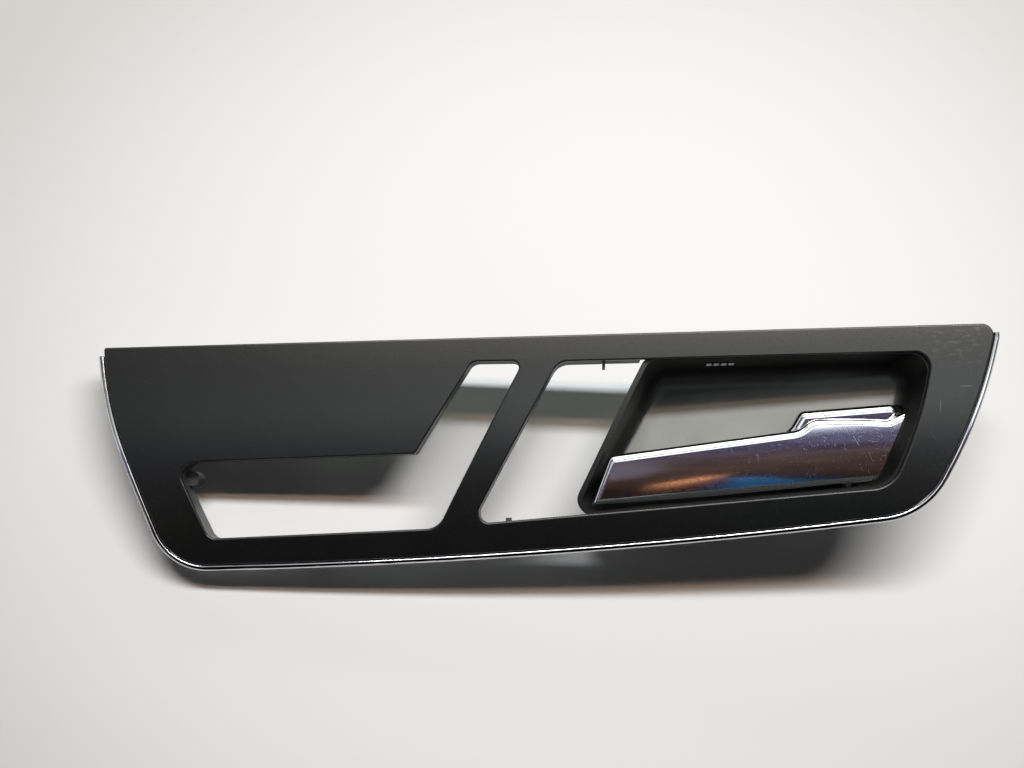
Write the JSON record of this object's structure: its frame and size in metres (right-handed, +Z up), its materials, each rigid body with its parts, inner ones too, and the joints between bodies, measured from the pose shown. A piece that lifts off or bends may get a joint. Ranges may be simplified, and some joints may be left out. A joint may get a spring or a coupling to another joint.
{
  "type": "car interior door handle",
  "caption": "Inside door handle in a slim black trim blade with a bright edge strip: sprung chrome pull lever hinged in a finger bowl, beside empty openings for seat and lock switches.",
  "frame": {"origin": "on the axis of the middle locating peg, on the plane where the carrier's pads rest on the door", "axes": "+X to the right along the blade as seen from the cabin, +Y from the cabin into the door, +Z up"},
  "size_m": [0.4034, 0.041, 0.102],
  "materials": {
    "soft_touch_facing": "soft-touch black, satin sheen",
    "carrier_plastic": "moulded black, fine grain",
    "chrome_strip": "bright chrome",
    "bowl_plastic": "moulded black, fine grain",
    "clear_lens": "clear moulded lens",
    "chrome_lever": "bright chrome with fine scratches",
    "core_plastic": "moulded black",
    "steel_pin": "drawn steel",
    "spring_steel": "spring wire",
    "rubber": "black rubber",
    "screw_steel": "zinc plated",
    "clip_steel": "phosphated spring steel"
  },
  "bodies": {
    "blade": {"decor_panel": "soft_touch_facing", "carrier_frame": "carrier_plastic", "edge_strip": "chrome_strip", "handle_bowl": "bowl_plastic", "light_lens": "clear_lens", "pivot_pin": "steel_pin", "return_spring": "spring_steel", "rest_buffer": "rubber", "bowl_screws": "screw_steel", "door_clips": "clip_steel"},
    "lever": {"lever_cover": "chrome_lever", "lever_core": "core_plastic", "cover_screws": "screw_steel"}
  },
  "joints": [
    {"name": "lever_pull", "type": "hinge", "parent": "blade", "child": "lever", "pos_m": [0.154, -0.007, -0.008], "axis": [0, 0, 1], "range_deg": [0, 35], "stiffness_Nm_per_rad": 0.2, "springref_deg": -51.57, "deforming": ["return_spring"]}
  ]
}
